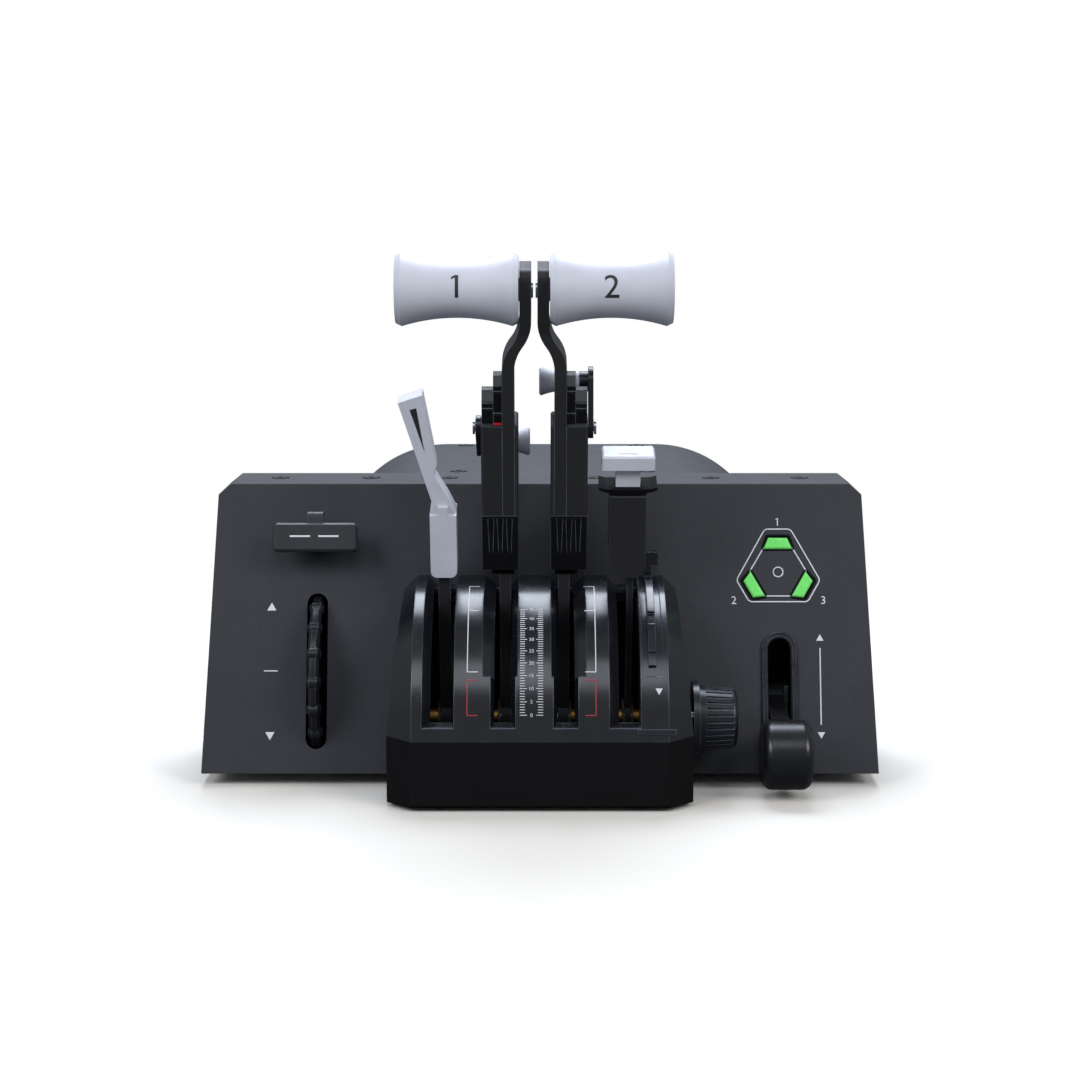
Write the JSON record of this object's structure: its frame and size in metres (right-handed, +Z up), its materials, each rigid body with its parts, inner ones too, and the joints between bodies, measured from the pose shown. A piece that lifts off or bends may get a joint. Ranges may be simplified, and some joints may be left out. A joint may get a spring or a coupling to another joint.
{
  "type": "throttle quadrant",
  "caption": "Desktop aircraft throttle quadrant: sloping panel with trim wheel, gear lever and brake pull behind a rounded module with speed-brake, thrust and flap levers.",
  "frame": {"origin": "middle of the footprint, on the table top under the feet", "axes": "+X to the pilot's right, +Y away from the pilot, +Z up"},
  "size_m": [0.305, 0.2448, 0.2395],
  "materials": {
    "panel_paint": "satin",
    "module_plastic": "satin",
    "base_plastic": "satin",
    "black_steel": "satin",
    "black_plastic": "satin",
    "gloss_black": "gloss",
    "grip_grey": "satin",
    "steel": "brushed",
    "zinc": "satin",
    "brass": "satin",
    "rubber": "matte",
    "lamp_lens": "gloss",
    "circuit_board": "satin",
    "sensor_plastic": "satin",
    "friction_felt": "matte"
  },
  "bodies": {
    "cabinet": {"cabinet_shell": "panel_paint", "rear_wall": "panel_paint", "rear_cover": "panel_paint", "deck_screws": "black_steel", "front_panel": "panel_paint", "base_plate": "zinc", "mounting_nuts": "zinc", "rubber_feet": "rubber", "quadrant_base": "base_plastic", "quadrant_shell": "module_plastic", "flap_gate": "module_plastic", "pivot_shaft": "steel", "shaft_bracket_left": "zinc", "shaft_bracket_right": "zinc", "lever_spacers": "brass", "friction_washers": "friction_felt", "lever_sensors": "sensor_plastic", "gear_lamps": "lamp_lens", "lamp_board": "circuit_board", "gear_slot_bezel": "gloss_black", "gear_bracket": "zinc", "gear_pin": "steel", "trim_axle": "steel", "trim_bracket": "zinc", "park_brake_guide": "black_steel", "knob_encoder": "zinc", "control_board": "circuit_board", "usb_socket": "steel"},
    "speed_brake": {"speed_brake_stem": "black_steel", "speed_brake_grip": "grip_grey"},
    "throttle_1": {"throttle_1_arm": "black_steel", "throttle_1_case": "black_plastic", "throttle_1_boot": "gloss_black", "throttle_1_pawl": "gloss_black", "throttle_1_handle": "grip_grey", "throttle_1_screw": "steel", "throttle_1_pin": "steel"},
    "reverser_1": {"reverser_1_arm": "black_plastic", "reverser_1_roller": "grip_grey"},
    "throttle_2": {"throttle_2_arm": "black_steel", "throttle_2_case": "black_plastic", "throttle_2_boot": "gloss_black", "throttle_2_pawl": "gloss_black", "throttle_2_handle": "grip_grey", "throttle_2_screw": "steel", "throttle_2_pin": "steel"},
    "reverser_2": {"reverser_2_arm": "black_plastic", "reverser_2_roller": "grip_grey"},
    "flap_lever": {"flap_stem": "black_steel", "flap_case": "black_plastic", "flap_handle": "grip_grey"},
    "flap_collar": {"flap_collar": "black_plastic"},
    "trim_wheel": {"trim_wheel": "gloss_black"},
    "park_brake": {"park_brake_plate": "black_plastic", "park_brake_rod": "black_steel"},
    "gear_lever": {"gear_arm": "black_steel", "gear_knob": "gloss_black"},
    "selector_knob": {"selector_knob": "gloss_black", "knob_shaft": "steel"}
  },
  "joints": [
    {"name": "speed_brake_pivot", "type": "hinge", "parent": "cabinet", "child": "speed_brake", "pos_m": [0, -0.0538, 0.026], "axis": [1, 0, 0], "range_deg": [0, 50]},
    {"name": "throttle_1_pivot", "type": "hinge", "parent": "cabinet", "child": "throttle_1", "pos_m": [0, -0.0538, 0.026], "axis": [1, 0, 0], "range_deg": [0, 56]},
    {"name": "throttle_2_pivot", "type": "hinge", "parent": "cabinet", "child": "throttle_2", "pos_m": [0, -0.0538, 0.026], "axis": [1, 0, 0], "range_deg": [0, 56]},
    {"name": "flap_pivot", "type": "hinge", "parent": "cabinet", "child": "flap_lever", "pos_m": [0, -0.0538, 0.026], "axis": [1, 0, 0], "range_deg": [0, 50]},
    {"name": "reverser_1_pivot", "type": "hinge", "parent": "throttle_1", "child": "reverser_1", "pos_m": [0, -0.08546, 0.16349], "axis": [1, 0, 0], "range_deg": [0, 101]},
    {"name": "reverser_2_pivot", "type": "hinge", "parent": "throttle_2", "child": "reverser_2", "pos_m": [0, -0.08546, 0.16349], "axis": [1, 0, 0], "range_deg": [-101, 0]},
    {"name": "flap_collar_lift", "type": "slide", "parent": "flap_lever", "child": "flap_collar", "axis": [0, -0.2588, 0.9659], "range_m": [0, 0.006], "stiffness_N_per_m": 300, "springref_m": -0.003},
    {"name": "trim_wheel_spin", "type": "hinge", "parent": "cabinet", "child": "trim_wheel", "pos_m": [-0.101, -0.0457, 0.04462], "axis": [1, 0, 0], "continuous": true},
    {"name": "park_brake_pull", "type": "slide", "parent": "cabinet", "child": "park_brake", "axis": [0, -0.9588, 0.284], "range_m": [0, 0.008]},
    {"name": "gear_lever_pivot", "type": "hinge", "parent": "cabinet", "child": "gear_lever", "pos_m": [0.1084, -0.03901, 0.032], "axis": [-1, 0, 0], "range_deg": [0, 56]},
    {"name": "selector_knob_turn", "type": "hinge", "parent": "cabinet", "child": "selector_knob", "pos_m": [0.075, -0.092, 0.035], "axis": [1, 0, 0], "continuous": true}
  ]
}
